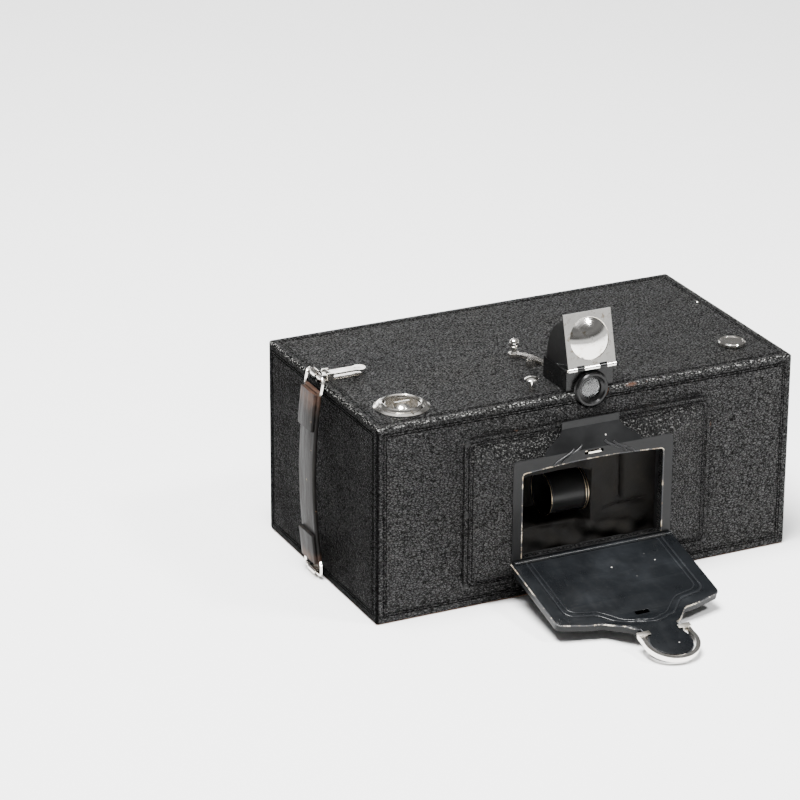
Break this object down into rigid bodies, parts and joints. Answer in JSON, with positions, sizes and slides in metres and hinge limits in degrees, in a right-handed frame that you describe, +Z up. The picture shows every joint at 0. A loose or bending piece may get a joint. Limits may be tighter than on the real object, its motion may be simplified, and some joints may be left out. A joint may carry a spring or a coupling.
{
  "type": "box camera",
  "caption": "Panoramic box camera for roll film: leather-covered box, drop front, swinging lens, folding finder hood, winding key and side strap.",
  "frame": {"origin": "centre of the box's underside, on the surface it stands on", "axes": "+X to the right seen from the front, +Y towards the back, +Z up"},
  "size_m": [0.2748, 0.2671, 0.1653],
  "materials": {
    "wood": "matt",
    "leather": "grained",
    "soft_leather": "soft",
    "strap_leather": "worn",
    "enamel": "satin",
    "blackened": "matt",
    "nickel": "polished",
    "steel": "satin",
    "brass": "satin",
    "glass": "clear",
    "red_glass": "clear",
    "mirror": "silvered"
  },
  "bodies": {
    "camera_body": {"top_board": "wood", "front_board": "wood", "back_board": "wood", "left_end_board": "wood", "right_end_board": "wood", "leather_covering": "leather", "front_panel": "leather", "door_frame": "enamel", "door_hinge_pin": "nickel", "door_catch": "nickel", "panel_screws": "blackened", "mechanism_plate": "wood", "film_track": "blackened", "spool_brackets": "steel", "lower_pivot_bracket": "brass", "lens_apron": "soft_leather", "swing_buffers": "soft_leather", "latch_bracket": "brass", "drive_spring": "steel", "button_spring": "steel", "finder_housing": "blackened", "finder_bezel": "blackened", "finder_front_lens": "glass", "finder_mirror": "mirror", "finder_top_lens": "glass", "finder_hinge_pin": "nickel", "winder_escutcheon": "nickel", "lever_stops": "nickel", "strap": "strap_leather", "strap_rings": "nickel", "strap_hook": "nickel", "clip_base": "nickel", "red_window": "red_glass", "window_ring": "nickel", "lid_hinge": "steel", "lid_catch_spring": "steel", "top_pin": "nickel"},
    "drop_front": {"front_door": "enamel", "door_liner": "enamel", "pull_lugs": "nickel"},
    "door_pull": {"pull_loop": "nickel"},
    "finder_hood": {"finder_lid": "nickel", "finder_wings": "blackened"},
    "swinging_lens": {"lens_barrel": "blackened", "lens_cell": "blackened", "front_lens": "glass", "rear_lens": "glass", "aperture_stop": "blackened", "lens_carrier": "brass", "exposure_funnel": "blackened"},
    "tension_arm": {"tension_lever": "nickel", "lever_knob": "nickel"},
    "shutter_button": {"release_button": "nickel"},
    "shutter_latch": {"release_latch": "brass"},
    "winder": {"winding_key": "nickel", "take_up_spool": "blackened"},
    "film_spool": {"supply_spool": "blackened"},
    "spool_knob": {"supply_knob": "nickel"},
    "strap_clip": {"clip_lever": "nickel"},
    "bottom_lid": {"loading_lid": "leather"}
  },
  "joints": [
    {"name": "front_door", "type": "hinge", "parent": "camera_body", "child": "drop_front", "pos_m": [0, -0.0831, 0.0255], "axis": [1, 0, 0], "range_deg": [-103.5, 0]},
    {"name": "door_pull", "type": "hinge", "parent": "drop_front", "child": "door_pull", "pos_m": [0, -0.16664, 0.00935], "axis": [1, 0, 0], "range_deg": [0, 50]},
    {"name": "finder_hood", "type": "hinge", "parent": "camera_body", "child": "finder_hood", "pos_m": [0.0015, -0.073, 0.134], "axis": [1, 0, 0], "range_deg": [-75, 0]},
    {"name": "lens_swing", "type": "hinge", "parent": "camera_body", "child": "swinging_lens", "pos_m": [0, -0.0545, 0.0525], "axis": [0, 0, 1], "range_deg": [0, 180], "deforming": ["lens_apron", "drive_spring"]},
    {"name": "tension_lever", "type": "hinge", "parent": "camera_body", "child": "tension_arm", "pos_m": [0, -0.037, 0.121], "axis": [0, 0, 1], "range_deg": [-60, 0]},
    {"name": "release_press", "type": "slide", "parent": "camera_body", "child": "shutter_button", "axis": [0, 0, -1], "range_m": [0, 0.003], "stiffness_N_per_m": 300, "springref_m": -0.001, "deforming": ["button_spring"]},
    {"name": "release_latch", "type": "hinge", "parent": "camera_body", "child": "shutter_latch", "pos_m": [-0.02, -0.061, 0.0954], "axis": [0, 1, 0], "range_deg": [-17.5, 0]},
    {"name": "winder_turn", "type": "hinge", "parent": "camera_body", "child": "winder", "pos_m": [-0.1067, -0.0504, 0.12], "axis": [0, 0, 1], "continuous": true},
    {"name": "supply_spool_turn", "type": "hinge", "parent": "camera_body", "child": "film_spool", "pos_m": [0.109, -0.0465, 0.05], "axis": [0, 0, 1], "continuous": true},
    {"name": "supply_knob_lift", "type": "slide", "parent": "camera_body", "child": "spool_knob", "axis": [0, 0, 1], "range_m": [0, 0.008]},
    {"name": "clip_press", "type": "hinge", "parent": "camera_body", "child": "strap_clip", "pos_m": [-0.127, 0.005, 0.1237], "axis": [0, 1, 0], "range_deg": [0, 3.5], "stiffness_Nm_per_rad": 0.02, "springref_deg": -2.86},
    {"name": "loading_lid", "type": "hinge", "parent": "camera_body", "child": "bottom_lid", "pos_m": [0.1261, 0, 0.0013], "axis": [0, 1, 0], "range_deg": [-100, 0]}
  ],
  "couplings": [
    {"joint": "release_latch", "follows": "release_press", "rad_per_m": -100}
  ]
}
